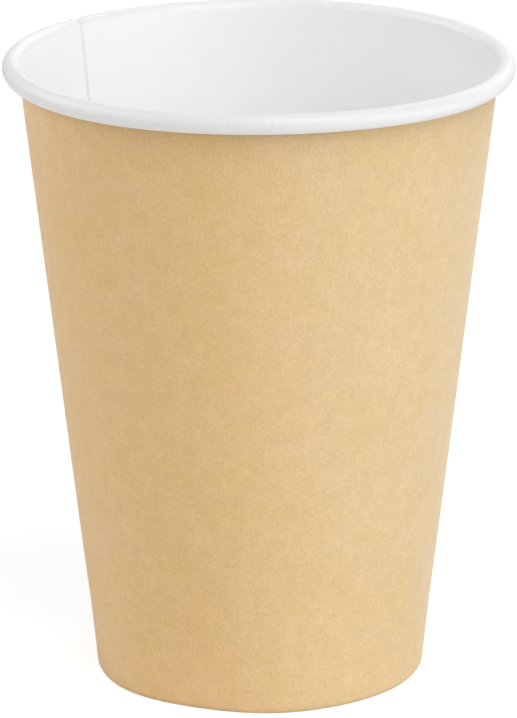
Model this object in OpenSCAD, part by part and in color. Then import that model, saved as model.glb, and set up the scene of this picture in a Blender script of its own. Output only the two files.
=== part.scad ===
// Paper cup for hot drinks, made of two pieces of coated board.
// The side wall is one sheet: lapped up the side, rolled outwards at the rim and turned in at the foot.
// The base is a round of thinner board with a skirt, which the turned-in foot holds all round.
// It stands on its foot at z = 0, about the Z axis. The front of the cup faces -Y.

/* [Cup] */
// Height, from the table to the top of the rim
cup_h = 112; // [80:1:180]
// Outside diameter of the rolled rim
rim_d = 90; // [80:1:110]
// Outside diameter of the foot
foot_d = 58.8; // [46:0.2:74]

/* [Board] */
// Thickness of the side wall's board
wall_t = 0.4; // [0.25:0.05:0.5]
// Thickness of the base's board
base_t = 0.3; // [0.2:0.05:0.5]
// Film of melted coating between two sealed faces
seal_t = 0.02; // [0.01:0.01:0.05]

/* [Rim] */
// Height and width of the roll
roll_d = 3.4; // [2.8:0.1:5]
// How far the board turns on its way round the roll, in degrees
roll_turn = 450; // [290:5:520]
// Slack between the turns of the roll
roll_slack = 0.05; // [0.02:0.01:0.2]

/* [Side seam] */
// Width of the lap, measured at the rim
lap_w = 9; // [5:0.5:14]
// Length along the rim over which the sheet's end climbs onto its start
climb_w = 3; // [2:0.5:6]
// Where the inner edge of the lap stands, in degrees round from +X
seam_turn = 140; // [0:1:359]

/* [Foot] */
// Height of the hollow under the base
recess_h = 9; // [6:0.5:16]
// Gap between the hem's edge and the start of the base's rounding
hem_gap = 1.2; // [0.5:0.1:3]
// How far the skirt's edge stays above the fold
skirt_lift = 0.6; // [0.4:0.1:2]
// How far the band that is pressed out over the skirt reaches above the base
band_over = 3; // [1:0.5:8]
// How far the foot stands out from the line of the wall
band_flare = 0.25; // [0:0.05:0.6]
// Rounding of the fold's two lower edges
fold_r = 0.25; // [0.1:0.05:0.3]
// Inside rounding between the base and its skirt
base_r = 0.8; // [0.4:0.1:2]

/* [Hidden] */
$fn = 96;
KRAFT = [0.85, 0.73, 0.54];
WHITE = [0.95, 0.95, 0.94];
ARC_STEP = 15;
FOLD_STEP = 30;
CLIMB_STEPS = 8;

// Degrees by which a stretch of the sheet reaches into the one before it, so that the two join
HAIR = 0.05;
// Depth by which the lap's two plies reach into each other where the seal presses them
BITE = 0.01;

// The roll: a large turn that shows, and a smaller one that ends inside it
roll_c = [(rim_d - roll_d) / 2, cup_h - roll_d / 2];
roll_r = (roll_d - wall_t) / 2;

// The wall's outer face runs straight from the foot into the roll's inner side, as a tangent
line_r = foot_d / 2 - band_flare;
lean = atan2(roll_c.x - line_r, roll_c.y) - asin((roll_r - wall_t / 2) / norm(roll_c - [line_r, 0]));
band_h = recess_h + band_over;
band_r = line_r + band_h * tan(lean);
band_slope = (band_r - foot_d / 2) / (band_h - fold_r);

// Level thicknesses: the wall and the foot lean, so each is a little over the board's
ply = micron([wall_t / cos(lean)])[0];
slot = base_t * norm([1, band_slope]) + 2 * seal_t;
fold_w = 2 * ply + slot;
hem_h = recess_h - base_r - hem_gap;

// The seam's two stretches: the lap, and the short climb that leads up to it
lap_turn = turn(lap_w);
climb_step = turn(climb_w / CLIMB_STEPS);

// Degrees that a length along the rim takes, to a hundredth
function turn(width) = round(width / (PI * rim_d) * 36000) / 100;

// Rounds each number to a micron
function micron(p) = [for (v = p) round(v * 1000) / 1000];

// Points on a circle from angle a to angle b, with its middle at c
function arc(c, r, a, b, step = ARC_STEP) =
    let (n = ceil(abs(b - a) / step))
    [for (i = [0:n]) c + r * [cos(a + (b - a) * i / n), sin(a + (b - a) * i / n)]];

// One face of the roll: r is the radius of its large turn, and side the offset from the board's middle
function roll_face(r, side) =
    let (inset = wall_t + roll_slack)
    concat(
        arc(roll_c, r + side, 180 - lean, -90),
        arc(roll_c - [0, inset], r - inset + side, -90, 180 - lean - roll_turn));

function reversed(list) = [for (i = [len(list) - 1:-1:0]) list[i]];

// Radius of the foot's outer face at height z
function band_at(z) = foot_d / 2 + band_slope * (z - fold_r);

// Moves each point out from the axis
function moved(points, out) = [for (p = points) micron(p) + [out, 0]];

// Section of the sheet, from the edge of the hem round the fold and up the wall to the end of the roll.
// climb is the share of a ply that the sheet has climbed over itself. It does so on its outer face:
// the wall goes outwards, the hem inwards, and the roll goes inside the roll of the ply below.
module sheet_section(climb = 0) {
    out = (ply - BITE) * climb;
    r = roll_r - (wall_t - BITE) * climb;
    hem_outside = concat(
        [[band_at(hem_h) - fold_w, hem_h]],
        arc([foot_d / 2 - fold_w + fold_r, fold_r], fold_r, 180, 270, FOLD_STEP));
    wall_outside = concat(
        arc([foot_d / 2 - fold_r, fold_r], fold_r, -90, 0, FOLD_STEP),
        [[band_r, band_h]]);
    wall_inside = [[band_r - ply, band_h], [band_at(wall_t) - ply, wall_t]];
    hem_inside = [
        [band_at(wall_t) - ply - slot, wall_t],
        [band_at(hem_h) - ply - slot, hem_h]
    ];
    polygon(concat(
        moved(hem_outside, -out),
        moved(wall_outside, out),
        moved(roll_face(r, -wall_t / 2), 0),
        moved(reversed(roll_face(r, wall_t / 2)), 0),
        moved(wall_inside, out),
        moved(hem_inside, -out)));
}

// Carries a section round the axis between two angles
module stretch(from, to) {
    rotate_extrude(start = from - HAIR, angle = to - from + HAIR) children();
}

// The sheet goes once round, climbs one ply outwards and ends over its own start
module side_wall() {
    climb_start = 360 - CLIMB_STEPS * climb_step;
    color(KRAFT)
    rotate([0, 0, seam_turn]) {
        stretch(0, lap_turn) {
            sheet_section();
            sheet_section(climb = 1);
        }
        stretch(lap_turn, climb_start) sheet_section();
        for (i = [0:CLIMB_STEPS - 1]) {
            start = climb_start + i * climb_step;
            stretch(start, start + climb_step) sheet_section(climb = (i + 0.5) / CLIMB_STEPS);
        }
    }
}

// Radius of the skirt's outer face at height z
function skirt_at(z) = band_at(z) - ply - seal_t;

// Section of the base: a flat floor that turns down into the skirt
module base_section() {
    tilt = atan(band_slope);
    edge_z = wall_t + skirt_lift;
    bend_z = recess_h - base_r;
    bend_c = [skirt_at(bend_z) - (base_r + base_t) / cos(tilt), bend_z];
    polygon(concat(
        [[0, recess_h], [0, recess_h + base_t]],
        arc(bend_c, base_r + base_t, 90, -tilt),
        [[skirt_at(edge_z), edge_z], [skirt_at(edge_z) - base_t / cos(tilt), edge_z]],
        arc(bend_c, base_r, -tilt, 90)));
}

module base_disc() {
    color(WHITE)
    rotate_extrude()
    base_section();
}

side_wall();
base_disc();
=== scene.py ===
# %% [markdown]
# # A paper cup for hot drinks
#
# Two pieces of board make this cup. One sheet is bent into a cone, lapped and sealed up the side,
# rolled outwards at the rim and folded in at the foot. A round of thinner board with a turned-down
# skirt is the base.
#
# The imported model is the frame: it fixes every size. This lesson builds a finer copy of each piece
# in the same place, gives each face its paper, and lights the cup the way a product photographer
# would.

import math

import bpy
import numpy as np
from mathutils import Matrix, Vector


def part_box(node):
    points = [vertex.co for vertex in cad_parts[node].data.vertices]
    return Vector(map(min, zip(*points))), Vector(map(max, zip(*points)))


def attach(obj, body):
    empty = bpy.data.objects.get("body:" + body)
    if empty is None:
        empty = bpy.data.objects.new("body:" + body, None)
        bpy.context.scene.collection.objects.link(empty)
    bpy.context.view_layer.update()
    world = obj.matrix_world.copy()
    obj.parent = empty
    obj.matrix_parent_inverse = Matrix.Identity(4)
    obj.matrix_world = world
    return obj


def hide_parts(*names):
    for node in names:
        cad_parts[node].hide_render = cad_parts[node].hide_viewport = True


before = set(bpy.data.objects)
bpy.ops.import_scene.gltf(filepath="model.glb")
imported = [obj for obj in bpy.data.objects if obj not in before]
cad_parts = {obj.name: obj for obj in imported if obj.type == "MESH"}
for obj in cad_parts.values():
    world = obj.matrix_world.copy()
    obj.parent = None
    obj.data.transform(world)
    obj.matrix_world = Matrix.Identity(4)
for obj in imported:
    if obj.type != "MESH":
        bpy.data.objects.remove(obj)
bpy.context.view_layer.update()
wall_low, wall_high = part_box("side_wall")
base_low, base_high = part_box("base_disc")
print("cup", [round(v * 1000, 2) for v in wall_high - wall_low], "mm")
print("base", [round(v * 1000, 2) for v in base_high - base_low], "mm")

# %% [markdown]
# ## Sizes
#
# Blender works in metres here, and paper is thin, so the sizes of the board are easier to read in
# millimetres and turned to metres once. The height and the rim come from the frame. The rest says
# how the maker's tools fold the board, and it repeats the values that the solids were made with.
# Only the fold at the foot is rounded more softly here, because its edge catches the light.
#
# The wall leaves the roll as a tangent. That fixes its lean: the angle up to the roll's middle,
# less the angle that the roll's radius takes up as seen from the foot.

# %% Sizes of the cup
MM = 0.001
cup_h = wall_high.z
rim_r = min(wall_high.x, wall_high.y, -wall_low.x, -wall_low.y)
foot_r = 29.4 * MM
wall_t = 0.4 * MM
base_t = 0.3 * MM
seal_t = 0.02 * MM
roll_r = 1.5 * MM
roll_slack = 0.05 * MM
recess_h = 9 * MM
band_h = recess_h + 3 * MM
band_flare = 0.25 * MM
hem_h = 7 * MM
fold_r = 0.5 * MM
seam_turn = math.radians(140)
lap_turn = math.radians(11.46)
climb_turn = math.radians(3.84)
roll_turn = math.radians(450)

roll_c = (rim_r - roll_r - wall_t / 2, cup_h - roll_r - wall_t / 2)
line_r = foot_r - band_flare
lean = math.atan2(roll_c[0] - line_r, roll_c[1]) - math.asin(
    (roll_r - wall_t / 2) / math.hypot(roll_c[0] - line_r, roll_c[1]))
ply = wall_t / math.cos(lean)
band_r = line_r + band_h * math.tan(lean)
band_slope = (band_r - foot_r) / band_h
fold_w = 2 * ply + base_t + 2 * seal_t
print("lean", round(math.degrees(lean), 2), "degrees; foot fold", round(fold_w / MM, 2), "mm wide")

# %% [markdown]
# ## The section of the sheet
#
# Cut through the wall, the board is one long ribbon: up from the hem's edge round the fold, up the
# wall and one and a quarter turns round the rim. The ribbon could be drawn by hand as a curve, but
# then its thickness would drift. Here its middle line is made of straight runs and arcs, and both
# faces are offset from it.
#
# Where the sheet laps over its own start, it lies one ply further out, its hem one ply further in,
# and its roll inside the roll below. Two numbers for each place round the cup say how far that has
# happened.

# %% The middle line of the board
HEM_STEPS, FOLD_STEPS, BAND_STEPS, WALL_STEPS, ROLL_STEPS, TUCK_STEPS = 8, 5, 4, 12, 26, 10


def eased(x):
    """Goes smoothly from 0 to 1 as x does: three x squared less two x cubed, held flat outside."""
    x = np.clip(x, 0, 1)
    return x * x * (3 - 2 * x)


def run(start, end, steps):
    """Points at even steps from start to end, both arrays of one (r, z) a station; the end is
    left out."""
    share = (np.arange(steps) / steps)[None, :, None]
    return start[:, None] * (1 - share) + end[:, None] * share


def bend(centre, radius, first, last, steps):
    """Points round a circle: centre plus radius times (cosine, sine) of angles from first to
    last, in radians."""
    angle = first + (last - first) * np.arange(steps + 1) / steps
    way = np.stack([np.cos(angle), np.sin(angle)], axis=-1)
    return centre[:, None] + radius[:, None, None] * way[None]


def pair(r, z):
    """One (r, z) for each station, from two values of which each may be a number or an array."""
    return np.stack(np.broadcast_arrays(np.asarray(r, float), np.asarray(z, float)), axis=-1)


def middle_line(over, under):
    """The board's middle line at each station, as an array of stations by points by (r, z).

    It is a chain of straight runs and arcs: the hem, two quarter turns of the fold, the
    pressed-out band, the wall as a tangent to the roll, the roll's large turn and the smaller
    turn inside it. over is 1 where the sheet lies on top of its own start, and under is 1 where
    it lies below its own end."""
    out = ply * over
    bottom = wall_t * under
    mid = fold_r - wall_t / 2
    hem_r = foot_r - fold_w + ply / 2 - out
    wall_r = foot_r - ply / 2 + out
    hem_top = pair(hem_r + band_slope * hem_h, hem_h)
    hem_foot = pair(hem_r, fold_r + bottom)
    wall_foot = pair(wall_r, fold_r + bottom)
    wall_band = pair(band_r - ply / 2 + out, band_h)
    first = roll_r - wall_t * over
    second = roll_r - wall_t - roll_slack - wall_t * (under + 2 * over)
    centre = pair(roll_c[0] + 0 * over, roll_c[1])
    tuck = pair(roll_c[0], roll_c[1] - first + second)
    tangent = centre + first[:, None] * np.array([-math.cos(lean), math.sin(lean)])
    corner = np.full_like(over, mid)
    turn = math.pi / 2
    return np.concatenate([
        run(hem_top, hem_foot, HEM_STEPS),
        bend(hem_foot + [mid, 0], corner, 2 * turn, 3 * turn, FOLD_STEPS),
        bend(wall_foot - [mid, 0], corner, -turn, 0, FOLD_STEPS),
        run(wall_foot, wall_band, BAND_STEPS)[:, 1:],
        run(wall_band, tangent, WALL_STEPS),
        bend(centre, first, math.pi - lean, -turn, ROLL_STEPS),
        bend(tuck, second, -turn, math.pi - lean - roll_turn, TUCK_STEPS)[:, 1:],
    ], axis=1)


# %% [markdown]
# ## Once round, and a little more
#
# The sheet starts at the seam's inner edge, goes once round, climbs one ply and ends over its own
# start. So the grid of the surface has two directions: along the section, and along the turn. The
# grid isn't joined to itself after a full turn, as a turned shape would be, because the real sheet
# isn't either.

# %% Stations round the cup
STATIONS = 640
turn_at = np.linspace(0, 2 * math.pi + lap_turn, STATIONS)
over = eased((turn_at - 2 * math.pi + climb_turn) / climb_turn)
under = 1 - eased((turn_at - lap_turn) / climb_turn)
compass = turn_at + seam_turn

section = middle_line(over, under)
tangent = np.gradient(section, axis=1)
tangent /= np.linalg.norm(tangent, axis=2, keepdims=True)
outwards = np.stack([tangent[..., 1], -tangent[..., 0]], axis=-1)
brown_face = section + outwards * wall_t / 2
white_face = section - outwards * wall_t / 2
print("section", section.shape[1], "points, at", STATIONS, "stations")

# %% [markdown]
# ## What the tools leave behind
#
# No paper cup is a perfect cone. The rim dips a little where the roller let go, the foot is a
# trifle oval with soft corners, and the roll is narrower than it is high. A toothed wheel has
# pressed the hem onto the skirt, which leaves fine ribs inside the foot. Noise could bend the cup
# too, but it would tear the lap apart. What goes round the turn here is a small sum of waves, so it
# stays smooth, and the base can ride the same waves.

# %% Out of round, and ribs in the hem
RIBS = 120
RIB_DEPTH = 0.05 * MM
RIB_FADE = 0.8 * MM
SQUEEZE = 0.18 * MM

# Waves round the turn: a count of periods, then the cosine part and the sine part in mm
RIM_DIP = (2, -0.099, 0.038), (3, -0.082, 0.126)
FOOT_OVAL = ((2, 0.0, 0.139),)
FOOT_CORNERS = ((2, -0.09, -0.11), (3, -0.06, -0.04), (4, 0.02, 0.12), (5, 0.11, -0.02),
                (6, -0.02, -0.03), (7, -0.02, 0.12))
CORNER_FADE = 30 * MM

# The dip comes in over this part of the height
DIP_FROM, DIP_OVER = 0.65, 0.3


def waves(angle, *terms):
    """A sum of waves round the turn: for each term, c times cosine n angle plus s times sine n
    angle."""
    return sum(MM * (c * np.cos(n * angle) + s * np.sin(n * angle)) for n, c, s in terms)


def out_of_round(points, angle):
    """Moves points outwards by the oval, which fades in proportion from the foot up to the rim,
    and by the soft corners, which fade out sooner. Moves them down by the rim's dip, less its
    highest value, so that no point rises. A point near the axis moves outwards less, in
    proportion to its radius."""
    up = points[..., 1] / cup_h
    dip = waves(angle, *RIM_DIP) - waves(np.linspace(0, 2 * math.pi, 721), *RIM_DIP).max()
    oval = waves(angle, *FOOT_OVAL)[:, None] * np.clip(1 - up, 0, 1)
    corners = waves(angle, *FOOT_CORNERS)[:, None] * eased(1 - points[..., 1] / CORNER_FADE)
    share = np.clip(points[..., 0] / foot_r, 0, 1)
    fall = dip[:, None] * eased((up - DIP_FROM) / DIP_OVER)
    return points + np.stack([(oval + corners) * share, fall], axis=-1)


def squeezed(points):
    """Makes the roll narrower than it is high. Its outer side stays, its inner side moves
    outwards by SQUEEZE, and the wall follows in proportion to its height."""
    roll_d = 2 * roll_r + wall_t
    inner = np.clip((rim_r - points[..., 0]) / roll_d, 0, 1)
    rise = np.clip(points[..., 1] / (cup_h - roll_d), 0, 1)
    return points + np.stack([SQUEEZE * inner * rise, 0 * rise], axis=-1)


def ribbed(points, angle):
    """Presses the ribs into the hem: a cosine round the turn, which fades in 1 mm up and fades
    out 0.4 mm below the hem's edge."""
    height = points[..., 1]
    on_hem = (np.arange(points.shape[1]) < HEM_STEPS) * eased((height - 1.0 * MM) / RIB_FADE)
    on_hem = on_hem * eased((hem_h - 0.4 * MM - height) / RIB_FADE)
    depth = RIB_DEPTH * (0.5 + 0.5 * np.cos(RIBS * angle))[:, None]
    return points + np.stack([on_hem * depth, 0 * depth * on_hem], axis=-1)


brown_face = out_of_round(squeezed(ribbed(brown_face, compass)), compass)
white_face = out_of_round(squeezed(white_face), compass)
print("rim", round(2 * brown_face[..., 0].max() / MM, 2), "mm across")
print("top", round(white_face[..., 1].max() / MM, 2), "mm up")

# %% [markdown]
# ## From a grid of points to a mesh
#
# A grid becomes a mesh when each little square names its four corners. Rows of numbers do that for
# the whole grid at once. The two faces run one after the other round the section, so the loop
# closes over the two cut edges, and a strip between the faces closes each end of the sheet.

# %% Helpers that make a mesh
def grid_faces(rows, columns, closed):
    """Four corners for each square of a grid: a point, the next in its row, and the same two one
    row on."""
    number = np.arange(rows * columns).reshape(rows, columns)
    if closed:
        number = np.concatenate([number, number[:, :1]], axis=1)
    near, far = number[:-1], number[1:]
    return np.stack([near[:, :-1], near[:, 1:], far[:, 1:], far[:, :-1]], axis=-1).reshape(-1, 4)


def turned(points, angle):
    """Puts (r, z) of each station at its angle: x is r times the cosine, y is r times the sine."""
    r, z = points[..., 0], points[..., 1]
    return np.stack([r * np.cos(angle)[:, None], r * np.sin(angle)[:, None], z], axis=-1)


def enclosed(points, faces):
    """Volume inside a closed mesh of quads: each triangle adds a sixth of its corners' triple
    product."""
    a, b, c, d = points[faces].transpose(1, 0, 2)
    return np.sum(a * np.cross(b, c) + a * np.cross(c, d)) / 6


def make_piece(name, points, faces, flat_xy, finish_of_face, crease=math.radians(40)):
    """A mesh object from whole arrays: points, faces, the flat place of each point, and a finish
    number for each face. Faces are turned outwards together if the volume that they enclose
    comes out negative."""
    points = points.reshape(-1, 3)
    volume = enclosed(points, faces)
    if volume < 0:
        faces = faces[:, ::-1]
    mesh = bpy.data.meshes.new(name)
    mesh.vertices.add(len(points))
    mesh.vertices.foreach_set("co", points.astype(np.float32).ravel())
    mesh.loops.add(faces.size)
    mesh.loops.foreach_set("vertex_index", faces.astype(np.int32).ravel())
    mesh.polygons.add(len(faces))
    mesh.polygons.foreach_set("loop_start", np.arange(0, faces.size, 4, dtype=np.int32))
    mesh.polygons.foreach_set("material_index", finish_of_face.astype(np.int32))
    mesh.polygons.foreach_set("use_smooth", np.ones(len(faces), bool))
    mesh.update(calc_edges=True)
    flat = mesh.uv_layers.new(name="flat")
    flat.data.foreach_set("uv", flat_xy.reshape(-1, 2)[faces].astype(np.float32).ravel())
    mesh.validate()
    mesh.set_sharp_from_angle(angle=crease)
    piece = bpy.data.objects.new(name, mesh)
    bpy.context.scene.collection.objects.link(piece)
    print(name, len(points), "points,", 2 * len(faces), "triangles,",
          round(abs(volume) / MM ** 3), "cubic mm")
    return piece


# %% [markdown]
# ## The flat sheet
#
# A cone unrolls into a fan. The place of each point on the flat fan is the best map for a pattern
# in the board, because the pulp was dried flat: its grain runs straight across the fan and only
# then bends round the cup. The distance along the section is the fan's radius, and the turn becomes
# a smaller angle.

# %% The side wall
def flat_fan(middle):
    """Place of each point on the unrolled fan. Its radius is the foot's slant distance from the
    cone's tip plus the length along the section. Its angle is the turn, measured from mid-sheet,
    times the sine of the lean."""
    step = np.linalg.norm(np.diff(middle, axis=1), axis=2)
    along = np.concatenate([np.zeros((len(middle), 1)), np.cumsum(step, axis=1)], axis=1)
    slant = foot_r / math.sin(lean)
    radius = slant + along
    angle = ((turn_at - turn_at.mean()) * math.sin(lean))[:, None]
    return np.stack([radius * np.sin(angle), radius * np.cos(angle) - slant], axis=-1)


BROWN, WHITE, CUT = 0, 1, 2
across = section.shape[1]
around = np.concatenate([brown_face, white_face[:, ::-1]], axis=1)
fan = flat_fan(section)
fan = np.concatenate([fan, fan[:, ::-1]], axis=1)
skin = grid_faces(STATIONS, 2 * across, closed=True)
once = np.repeat([BROWN, CUT, WHITE, CUT], [across - 1, 1, across - 1, 1])
finish = np.tile(once, STATIONS - 1)
strip = np.arange(across - 1)
start_cap = np.stack([strip, 2 * across - 1 - strip, 2 * across - 2 - strip, strip + 1], axis=-1)
end_cap = start_cap[:, ::-1] + (STATIONS - 1) * 2 * across
wall = make_piece(
    "cup_wall",
    turned(around, compass),
    np.concatenate([skin, start_cap, end_cap]),
    fan,
    np.concatenate([finish, np.full(2 * len(strip), CUT)]),
)
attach(wall, "root")
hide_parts("side_wall")

# %% [markdown]
# ## The base
#
# The base starts as a flat round. A ring pushes its edge down into a skirt, and the paper that is
# too long for the smaller ring gathers in faint pleats. Its flat sags by a hair. It is a turned
# shape, so its grid closes on itself. The middle could end in one point with a fan of triangles,
# but here the grid runs down to a tiny ring, and quads that span the ring close it.

# %% The base
BASE_STATIONS = 288
FLAT_STEPS, BEND_STEPS, SKIRT_STEPS = 24, 8, 6
HUB_R = 0.02 * MM
PLEATS = 72
PLEAT_DEPTH = 0.03 * MM
SAG = 0.25 * MM
bend_r = 0.8 * MM
skirt_low = 1.0 * MM


def skirt_at(z):
    """Radius of the skirt's outer face at height z: the band's outer face, less one ply and the
    seal."""
    return foot_r + band_slope * z - ply - seal_t


def base_section(stations):
    """The base's middle line, from its middle out over the flat, round the bend and down the
    skirt."""
    one = np.ones(stations)
    tilt = math.atan(band_slope)
    mid = bend_r + base_t / 2
    bend_z = recess_h - bend_r
    centre = pair(one * (skirt_at(bend_z) - base_t / 2 - mid), bend_z)
    top = recess_h + base_t / 2
    edge = pair(one * (skirt_at(skirt_low) - base_t / 2), skirt_low)
    corner = bend(centre, one * mid, math.pi / 2, -tilt, BEND_STEPS)
    return np.concatenate([
        run(pair(one * HUB_R, top), corner[:, 0], FLAT_STEPS),
        corner,
        run(corner[:, -1], edge, SKIRT_STEPS)[:, 1:],
        edge[:, None],
    ], axis=1)


base_turn = np.arange(BASE_STATIONS) / BASE_STATIONS * 2 * math.pi
base_mid = base_section(BASE_STATIONS)
base_tangent = np.gradient(base_mid, axis=1)
base_tangent /= np.linalg.norm(base_tangent, axis=2, keepdims=True)
upwards = np.stack([-base_tangent[..., 1], base_tangent[..., 0]], axis=-1)
flat_r = skirt_at(recess_h)
dish = np.clip(1 - (base_mid[..., 0] / flat_r) ** 2, 0, 1) ** 2
base_mid[..., 1] -= SAG * dish * (base_mid[..., 1] > recess_h)
base_top = base_mid + upwards * base_t / 2
base_under = base_mid - upwards * base_t / 2
print("base section", base_mid.shape[1], "points, at", BASE_STATIONS, "stations")


def pleated(points):
    """Faint gathers on the bend: a cosine round the turn, uneven from one to the next. They come
    in over the flat's last 2 mm and fade down the skirt."""
    near_bend = eased((points[..., 0] - flat_r + 2.2 * MM) / (1.6 * MM))
    fade = near_bend * eased((points[..., 1] - 3 * MM) / (4 * MM))
    wave = 0.5 - 0.5 * np.cos(PLEATS * base_turn) * (0.7 + 0.3 * np.sin(5 * base_turn))
    return points - (fade * PLEAT_DEPTH * wave[:, None])[..., None]


# %% [markdown]
# The grid of the base is made like the wall's, with one difference: its last station joins its
# first. The two hubs are the tiny rings in the middle of its top and of its underside.

# %% The base's mesh
TOP, UNDER, BASE_CUT = 0, 1, 2
base_around = np.concatenate([pleated(base_top), pleated(base_under)[:, ::-1]], axis=1)
base_around = out_of_round(base_around, base_turn)
rows = base_around.shape[1]
base_points = turned(base_around, base_turn)
number = np.arange(BASE_STATIONS * rows).reshape(BASE_STATIONS, rows)
number = np.concatenate([number, number[:1]], axis=0)
near, far = number[:-1], number[1:]
base_faces = np.stack([near[:, :-1], near[:, 1:], far[:, 1:], far[:, :-1]], axis=-1).reshape(-1, 4)
half = rows // 2
base_finish = np.tile(np.repeat([TOP, BASE_CUT, UNDER], [half - 1, 1, half - 1]), BASE_STATIONS)


def hub(ring):
    """Closes a small ring of points with quads that each span it: point i and i + 1 with their
    opposites."""
    i = np.arange(len(ring) // 2 - 1)
    across_i = len(ring) - 1 - i
    return np.stack([ring[i], ring[i + 1], ring[across_i - 1], ring[across_i]], axis=-1)


hub_top = hub(number[:-1, 0])[:, ::-1]
hub_under = hub(number[:-1, -1])
base = make_piece(
    "cup_base",
    base_points,
    np.concatenate([base_faces, hub_top, hub_under]),
    base_points[..., :2],
    np.concatenate([base_finish, np.repeat([TOP, UNDER], len(hub_top))]),
)
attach(base, "root")
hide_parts("base_disc")

# %% [markdown]
# ## Shader maths as Python
#
# A material in Blender is a graph of nodes. Wiring it by hand takes a line for each noodle, so a
# small class wraps the output of a node. Adding or multiplying two of them adds a Math node, and a
# formula in Python becomes the graph. Every other node comes from one method, which sets the node's
# own choices first, because they decide which sockets it has. The floor and the world are graphs
# too, so they use the same method.

# %% A class for sockets
class Wire:
    """The output of a node. Arithmetic on it adds Math nodes to its graph."""

    def __init__(self, graph, socket):
        self.graph = graph
        self.socket = socket

    def math(self, operation, *values):
        return self.graph.node("ShaderNodeMath", {"operation": operation}, dict(enumerate(values)))

    def __add__(self, other):
        return self.math("ADD", self, other)

    def __sub__(self, other):
        return self.math("SUBTRACT", self, other)

    def __rsub__(self, other):
        return self.math("SUBTRACT", other, self)

    def __mul__(self, other):
        return self.math("MULTIPLY", self, other)

    def most(self, other):
        """The higher of the two."""
        return self.math("MAXIMUM", self, other)

    __radd__ = __add__
    __rmul__ = __mul__


# %% A class for graphs
class Graph:
    """The nodes of one material or world, which starts out empty."""

    def __init__(self, owner):
        owner.use_nodes = True
        self.owner = owner
        self.tree = owner.node_tree
        self.tree.nodes.clear()

    def node(self, kind, settings=None, sockets=None, out=0):
        """Adds one node of a kind: its settings first, then a value or a link for each socket.
        Gives back the output that is asked for, or nothing where the node has none."""
        node = self.tree.nodes.new(kind)
        for name, value in (settings or {}).items():
            setattr(node, name, value)
        for name, value in (sockets or {}).items():
            self.plug(node.inputs[name], value)
        return Wire(self, node.outputs[out]) if node.outputs else None

    def plug(self, socket, value):
        """Links a wire to a socket, or sets the socket to a value."""
        if isinstance(value, Wire):
            self.tree.links.new(value.socket, socket)
        else:
            socket.default_value = value


# %% [markdown]
# ## The steps that the papers share
#
# Each paper is a recipe on one Principled shader. The recipes share a few steps, such as looking up
# a place, cloudy noise, a smooth ramp and a soft spot, so the steps are methods and a recipe stays
# short enough to read.

# %% A class for finishes
class Finish(Graph):
    """A material with one Principled shader, which the recipe fills in."""

    def __init__(self, name, **constants):
        super().__init__(bpy.data.materials.new(name))
        surface = self.node("ShaderNodeBsdfPrincipled")
        self.node("ShaderNodeOutputMaterial", None, {"Surface": surface})
        self.shader = surface.socket.node
        self.set(**constants)

    def place(self, stretch=(1, 1, 1), flat=False):
        """Where the pattern is looked up: the object's own coordinates or its flat map,
        stretched per axis."""
        source = self.node("ShaderNodeTexCoord", out="UV" if flat else "Object")
        return self.node("ShaderNodeMapping", None, {"Vector": source, "Scale": stretch})

    def noise(self, place, scale, detail=2.0, rough=0.5):
        """Cloudy noise, roughly from -1 to 1: twice the texture's value less a half."""
        sockets = {"Vector": place, "Scale": scale, "Detail": detail, "Roughness": rough}
        return (self.node("ShaderNodeTexNoise", None, sockets) - 0.5) * 2

    def vector(self, operation, out, *values):
        """One operation on whole vectors. Output 0 is a vector, and output 1 is a number."""
        sockets = dict(enumerate(values))
        return self.node("ShaderNodeVectorMath", {"operation": operation}, sockets, out)

    def along(self, place, way):
        """How far a place lies along a direction: the dot product of the two."""
        return self.vector("DOT_PRODUCT", 1, place, way)

    def distance(self, place, centre, share):
        """Length of the way from a centre to a place, with each axis multiplied by its share
        first."""
        way = self.vector("SUBTRACT", 0, place, centre)
        return self.vector("LENGTH", 1, self.vector("MULTIPLY", 0, way, share))

    def spot(self, place, centre, size):
        """A soft spot: 1 in its middle and 0 outside an ellipsoid whose half axes are the three
        sizes."""
        return 1 - self.ramp(self.distance(place, centre, [1 / length for length in size]), 0.3, 1)

    def ramp(self, value, low, high):
        """Goes smoothly from 0 to 1 as the value goes from low to high."""
        sockets = {"Value": value, "From Min": low, "From Max": high}
        return self.node("ShaderNodeMapRange", {"interpolation_type": "SMOOTHSTEP"}, sockets)

    def mix(self, share, first, second):
        """A colour between two, by share."""
        settings = {"data_type": "RGBA", "clamp_factor": True}
        return self.node("ShaderNodeMix", settings, {0: share, 6: first, 7: second}, out=2)

    def scaled(self, colour, factor):
        """A colour made lighter or darker by a factor, channel by channel."""
        grey = self.node("ShaderNodeCombineColor", None, {0: factor, 1: factor, 2: factor})
        settings = {"data_type": "RGBA", "blend_type": "MULTIPLY"}
        return self.node("ShaderNodeMix", settings, {0: 1.0, 6: colour, 7: grey}, out=2)

    def speckled(self, colour, light):
        """A brown with lighter and darker specks. Blue gains most and red least, so a speck is
        paler, not redder."""
        parts = {0: 1 + light * 0.85, 1: 1 + light * 0.97, 2: 1 + light * 1.26}
        specks = self.node("ShaderNodeCombineColor", None, parts)
        settings = {"data_type": "RGBA", "blend_type": "MULTIPLY"}
        return self.node("ShaderNodeMix", settings, {0: 1.0, 6: colour, 7: specks}, out=2)

    def bump(self, height, distance, strength=1.0):
        """Tilts the surface as if it stood up by height times distance, in metres."""
        sockets = {"Height": height, "Distance": distance, "Strength": strength}
        self.plug(self.shader.inputs["Normal"], self.node("ShaderNodeBump", None, sockets))

    def set(self, **sockets):
        """Sets or links sockets of the shader by their names, with _ for each space."""
        for socket, value in sockets.items():
            self.plug(self.shader.inputs[socket.replace("_", " ")], value)


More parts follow.
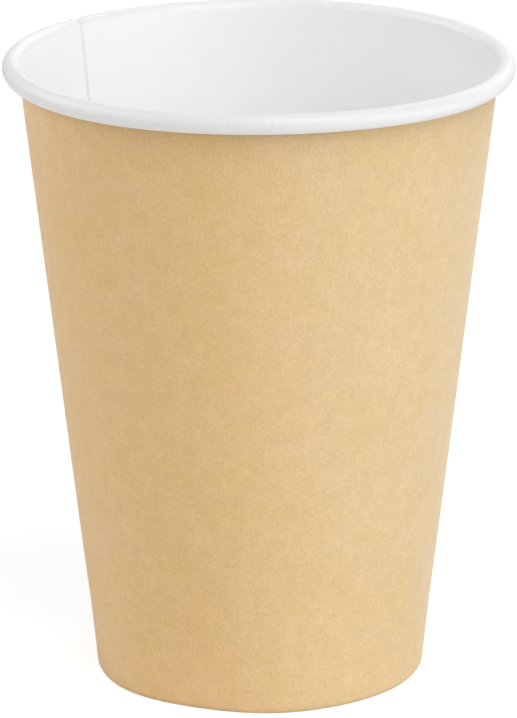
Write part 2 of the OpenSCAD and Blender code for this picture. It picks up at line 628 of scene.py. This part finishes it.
def colour(red, green, blue):
    """A colour as painters' tables give it, from 0 to 255, turned to the linear light that
    shaders work in."""
    share = np.array([red, green, blue]) / 255
    light = np.where(share <= 0.04045, share / 12.92, ((share + 0.055) / 1.055) ** 2.4)
    return (*light.tolist(), 1.0)


# %% [markdown]
# ## Brown board
#
# The outside is uncoated brown board. Close up it is felted fibre: specks about half a millimetre
# across, clouds of yellower and redder pulp a few millimetres wide, and faint streaks along the
# grain. The cup's right side is painted paler, as a painted sheen where the light falls. A
# photograph mapped on would show its own edges and light, so noise at each of those scales is added
# up instead.
#
# Where shade falls, the board is painted darker: a painted shadow where it tucks in under the bead,
# and painted shade in the crease itself and round the fold at the foot. Those three painted shades
# follow the height alone, and they are a light touch, not a line.

# %% Brown board
# Depth of the painted shadow under the bead, and of the painted shade in the crease and at the foot
PAINTED_TUCK_SHADOW, PAINTED_CREASE_SHADE, PAINTED_FOOT_SHADE = 0.06, 0.12, 0.16


def brown_board():
    """Uncoated brown board: two pulps mixed by clouds, paler on the cup's right as a painted sheen,
    with specks, fibres and painted shade at the folds over them."""
    board = Finish("brown_board", IOR=1.5, Specular_IOR_Level=0.5,
                   Sheen_Weight=0.25, Sheen_Roughness=0.5)
    here = board.place()
    felt = board.place(stretch=(1, 0.85, 1), flat=True)
    grain = board.place(stretch=(1, 0.6, 1), flat=True)
    mottle = board.noise(felt, scale=330, detail=4, rough=0.95)
    fibres = board.noise(grain, scale=2600, detail=2, rough=0.7)
    clouds = board.noise(here, scale=150, detail=2, rough=0.6)
    drift = board.noise(here, scale=45, detail=1)

    # The pulp: redder or yellower with the clouds, and paler on the cup's right as a painted sheen
    tint = 0.5 + clouds * 0.8 + drift * 0.4
    warm = board.mix(tint, colour(233, 195, 142), colour(232, 193, 127))
    pale = board.mix(tint, colour(229, 200, 156), colour(227, 197, 141))
    pulp = board.mix(board.ramp(board.along(here, (1, 0, 0)), -14 * MM, 16 * MM), warm, pale)

    # Painted shade at the folds: a painted shadow over 2 mm under the bead, and painted shade in its
    # crease and on the foot's lowest millimetre
    height = board.along(here, (0, 0, 1))
    tuck_shadow = board.ramp(height, cup_h - 5.9 * MM, cup_h - 4.1 * MM) * PAINTED_TUCK_SHADOW
    crease = board.ramp(height, cup_h - 4.35 * MM, cup_h - 4.0 * MM) * PAINTED_CREASE_SHADE
    foot_shade = PAINTED_FOOT_SHADE - board.ramp(height, 0.3 * MM, 1.1 * MM) * PAINTED_FOOT_SHADE

    specks = mottle * 0.19 + fibres * 0.2 - clouds * 0.012 - drift * 0.02
    light = specks - tuck_shadow - crease - foot_shade
    board.set(Base_Color=board.speckled(pulp, light), Roughness=0.62 + fibres * 0.08)
    board.bump(mottle + fibres * 0.6, 0.012 * MM, 0.6)
    return board.owner


# %% [markdown]
# ## White coated board
#
# The inside carries a thin clear film over bleached board. It keeps the drink in and leaves a satin
# sheen, so the white is smoother than the brown, with only a breath of the fibres beneath. The
# film's slow waves catch the light, and they come from bump at a scale of a few millimetres.
#
# Three marks on it are painted. The crown of the rim is painted a shade greyer, and the bead's outer
# side darker towards its top: painted shade on the faces that turn up to the lamps. A painted shadow
# shows as a soft line beside the lap's inner edge. And the bead has a few nicks at the front, each
# no more than painted shade, one of them a painted highlight. They could be dents in the mesh, but
# at this depth a shade is all that the eye gets.

# %% White coated board
# How dark the painted shade is on the crown and on the bead's outer side, and the painted shadow
# beside the seam
PAINTED_CROWN_SHADE, PAINTED_BEAD_SHADE, PAINTED_SEAM_SHADOW = 0.14, 0.2, 0.12
NICK_R = rim_r - 0.4 * MM
NICK_SIZE = (0.3 * MM, 1.5 * MM, 0.6 * MM)

# Each nick: mm right of the middle, mm below the top, and how much darker it is as painted shade; a
# negative value is a painted highlight
NICKS = (2.3, 1.3, 0.06), (1.5, 0.9, -0.05), (-5.3, 1.2, 0.04)


def painted_rim_shade(board, here):
    """Painted shade on the rim, how much darker it is: the greater of a ramp up the crown and, on
    the bead's outer side, a longer ramp."""
    height = board.along(here, (0, 0, 1))
    radius = board.distance(here, (0, 0, 0), (1, 1, 0))
    outer = board.ramp(radius, rim_r - 2.0 * MM, rim_r - 1.4 * MM)
    crown = board.ramp(height, cup_h - 1.9 * MM, cup_h - 0.8 * MM) * PAINTED_CROWN_SHADE
    bead = board.ramp(height, cup_h - 3.1 * MM, cup_h - 0.6 * MM) * PAINTED_BEAD_SHADE
    return crown.most(outer * bead)


def painted_seam_shadow(board, here):
    """Painted shadow beside the lap's inner edge, how much darker it is: a band a millimetre wide
    beside it, on that side of the axis and from the wall outwards, so that it doesn't run on over
    the base."""
    to_seam = (math.cos(seam_turn), math.sin(seam_turn), 0)
    past_seam = (-math.sin(seam_turn), math.cos(seam_turn), 0)
    beside = board.along(here, past_seam)
    near_side = board.ramp(beside, -1.15 * MM, -0.6 * MM)
    far_side = board.ramp(beside, -0.35 * MM, 0.1 * MM)
    in_wall = board.ramp(board.along(here, to_seam), foot_r - 0.2 * MM, foot_r + 0.4 * MM)
    return near_side * (1 - far_side) * in_wall * PAINTED_SEAM_SHADOW


def white_board(name, tone, rough, relief):
    """White board under a clear film: faint fibres and clouds, with painted shade on the rim, a
    painted shadow beside the seam, and nicks in painted shade."""
    board = Finish(name, IOR=1.5)
    here = board.place()
    grain = board.place(stretch=(1, 0.25, 1), flat=True)
    fibres = board.noise(grain, scale=1500, detail=3, rough=0.6)
    clouds = board.noise(here, scale=220, detail=3, rough=0.8)
    slow = board.noise(here, scale=260, detail=1)
    # The nicks: painted shade, and a painted highlight where the value is negative
    nicks = sum(board.spot(here, (x * MM, -NICK_R, cup_h - down * MM), NICK_SIZE) * depth
                for x, down, depth in NICKS)
    # Painted shade on the rim, a painted shadow beside the seam, and the nicks' painted shade and
    # highlight
    painted_marks = painted_rim_shade(board, here) + painted_seam_shadow(board, here) + nicks
    light = 1 + fibres * 0.004 + clouds * 0.012 - painted_marks
    board.set(Base_Color=board.scaled(tone, light), Roughness=rough + clouds * 0.05 + fibres * 0.04)
    board.bump(fibres * 0.25 + slow, relief, 0.5)
    return board.owner


# %% [markdown]
# ## The cut edge
#
# Where the board is cut, its brown core shows between the faces, rough and a little darker. It is
# seen at the side seam, at the hem and at the base's skirt, and it needs a finish of its own, since
# a thin bright line there would give the model away.

# %% Cut edge
def cut_edge():
    """Cut board: a rough mix of two browns, with the finest specks of all."""
    board = Finish("cut_edge", IOR=1.5)
    specks = board.noise(board.place(), scale=5000, detail=3, rough=0.7)
    pulp = board.mix(0.5 + specks * 0.5, colour(188, 164, 130), colour(216, 204, 184))
    board.set(Base_Color=pulp, Roughness=0.85 + specks * 0.1)
    board.bump(specks, 0.03 * MM, 0.7)
    return board.owner


# %% [markdown]
# The finishes go on in the order of their numbers in the mesh. The base is coated only on top. Its
# underside is the same white board without the film, so it is duller, and a little yellower.

# %% Finishes on the two pieces
cut = cut_edge()
coated = white_board("white_coated", colour(246, 246, 246), rough=0.42, relief=0.010 * MM)
uncoated = white_board("white_plain", colour(232, 230, 225), rough=0.75, relief=0.006 * MM)
for piece, papers in ((wall, (brown_board(), coated, cut)), (base, (coated, uncoated, cut))):
    for paper in papers:
        piece.data.materials.append(paper)
    print(piece.name, [paper.name for paper in papers])

# %% [markdown]
# ## Floor and backdrop
#
# A product photo on white needs a floor that reads as white and still holds the cup's shadow.
# Turning the lamps up until the floor clips would burn the cup too. So the camera sees part of the
# floor's white as given and part as lit, and all other rays meet plain pale paper. The world is
# white to the camera and in mirrored light, and nearly dark to the rest.

# %% Floor
FLOOR_SIZE = 6.0
FLOOR_DROP = 0.02 * MM
LIT_SHARE = 0.3
FLOOR_LIGHT = 0.9
WHITE_LEVEL = 1.08

corners = FLOOR_SIZE / 2 * np.array([[-1, -1], [1, -1], [1, 1], [-1, 1]])
floor_mesh = bpy.data.meshes.new("floor")
floor_mesh.from_pydata([(x, y, -FLOOR_DROP) for x, y in corners], [], [(0, 1, 2, 3)])
floor = bpy.data.objects.new("floor", floor_mesh)
bpy.context.scene.collection.objects.link(floor)

# The lamps give the open floor about FLOOR_LIGHT, and the given part fills that up to WHITE_LEVEL
ground = Graph(bpy.data.materials.new("floor_paper"))
seen = ground.node("ShaderNodeLightPath", out="Is Camera Ray")
plain = ground.node("ShaderNodeBsdfDiffuse", None, {"Color": (0.8, 0.8, 0.8, 1)})
lit = ground.node("ShaderNodeBsdfDiffuse", None, {"Color": (LIT_SHARE, LIT_SHARE, LIT_SHARE, 1)})
fill = WHITE_LEVEL - LIT_SHARE * FLOOR_LIGHT
given = ground.node("ShaderNodeEmission", None, {"Color": (1, 1, 1, 1), "Strength": fill})
bright = ground.node("ShaderNodeAddShader", None, {0: lit, 1: given})
shown = ground.node("ShaderNodeMixShader", None, {0: seen, 1: plain, 2: bright})
ground.node("ShaderNodeOutputMaterial", None, {"Surface": shown})
floor.data.materials.append(ground.owner)
print("floor", FLOOR_SIZE, "m wide, given light", round(fill, 3))

# %% World
AMBIENT = 0.02
world = bpy.data.worlds.new("studio")
bpy.context.scene.world = world
sky = Graph(world)
seen = sky.node("ShaderNodeLightPath", out="Is Camera Ray")
mirrored = sky.node("ShaderNodeLightPath", out="Is Glossy Ray")
strength = sky.node("ShaderNodeMapRange", None, {
    "Value": seen.most(mirrored), "To Min": AMBIENT, "To Max": 1.0})
glow = sky.node("ShaderNodeBackground", None, {"Color": (1, 1, 1, 1), "Strength": strength})
sky.node("ShaderNodeOutputWorld", None, {"Surface": glow})
print("world", AMBIENT, "to other rays than the camera's and mirrored ones")

# %% [markdown]
# ## Lamps
#
# Each softbox is a large area lamp that looks at the middle of the cup. Its place is given the way
# a photographer says it: how far round from the camera and how high. All stand equally far away and
# are equally wide, and only their power differs. One big lamp overhead would be simpler, but it
# would leave the sides of the cup flat, and the long soft falloff round the brown board is what
# makes it look round.

# %% Softboxes
LAMP_AWAY = 2.0
LAMP_WIDE = 1.3

# Name, degrees round from the camera (right is positive), degrees up, watts
LAMPS = (
    ("low right", 70, 5, 12.2),
    ("near right", 35, 30, 8.8),
    ("high right", 35, 60, 24.0),
    ("front", 0, 30, 2.6),
    ("near left", -70, 30, 7.7),
    ("left", -110, 30, 14.5),
    ("back", 150, 30, 10.0),
)


def softbox(name, around, height, power):
    """A square area lamp. The way to it has the sine and cosine of the turn, each times the
    rise's cosine, and the rise's sine upwards."""
    lamp = bpy.data.objects.new(name, bpy.data.lights.new(name, "AREA"))
    lamp.data.shape = "SQUARE"
    lamp.data.size = LAMP_WIDE
    lamp.data.energy = power
    turn_by, rise = math.radians(around), math.radians(height)
    level = math.cos(rise)
    way = Vector((math.sin(turn_by) * level, -math.cos(turn_by) * level, math.sin(rise)))
    lamp.location = Vector((0, 0, cup_h / 2)) + way * LAMP_AWAY
    lamp.rotation_euler = way.to_track_quat("Z", "Y").to_euler()
    bpy.context.scene.collection.objects.link(lamp)
    return lamp


lamps = [softbox(*values) for values in LAMPS]
print(len(lamps), "softboxes,", round(sum(lamp.data.energy for lamp in lamps), 1), "W in all")

# %% [markdown]
# ## Camera
#
# The camera stands 99 cm from the cup and looks down at 17 degrees through a long lens. These
# values make the ellipses of the rim and the foot as open as they are in the photo. A wider lens
# from nearer would open the rim more than the foot, so the pair of ellipses fixes the distance.

# %% Camera
VIEW_DISTANCE = 0.99
VIEW_DOWN = 0.293
VIEW_ROLL = -0.002
LENS = 279.0
SENSOR = 36
AIM = Vector((-0.16 * MM, 0, 56.21 * MM))
camera = bpy.data.objects.new("camera", bpy.data.cameras.new("camera"))
camera.data.sensor_fit = "VERTICAL"
camera.data.sensor_height = SENSOR
camera.data.lens = LENS
camera.data.clip_start = 0.01
right = Vector((1, 0, 0))
up = Vector((0, math.sin(VIEW_DOWN), math.cos(VIEW_DOWN)))
back = Vector((0, -math.cos(VIEW_DOWN), math.sin(VIEW_DOWN)))
tilted_right = right * math.cos(VIEW_ROLL) + up * math.sin(VIEW_ROLL)
tilted_up = up * math.cos(VIEW_ROLL) - right * math.sin(VIEW_ROLL)
camera.matrix_world = Matrix.Translation(AIM + back * VIEW_DISTANCE) @ Matrix(
    (tilted_right, tilted_up, back)).transposed().to_4x4()
bpy.context.scene.collection.objects.link(camera)
bpy.context.scene.camera = camera
bpy.context.scene.view_settings.view_transform = "Standard"
print("camera", VIEW_DISTANCE, "m away,", round(math.degrees(VIEW_DOWN), 1), "degrees down")
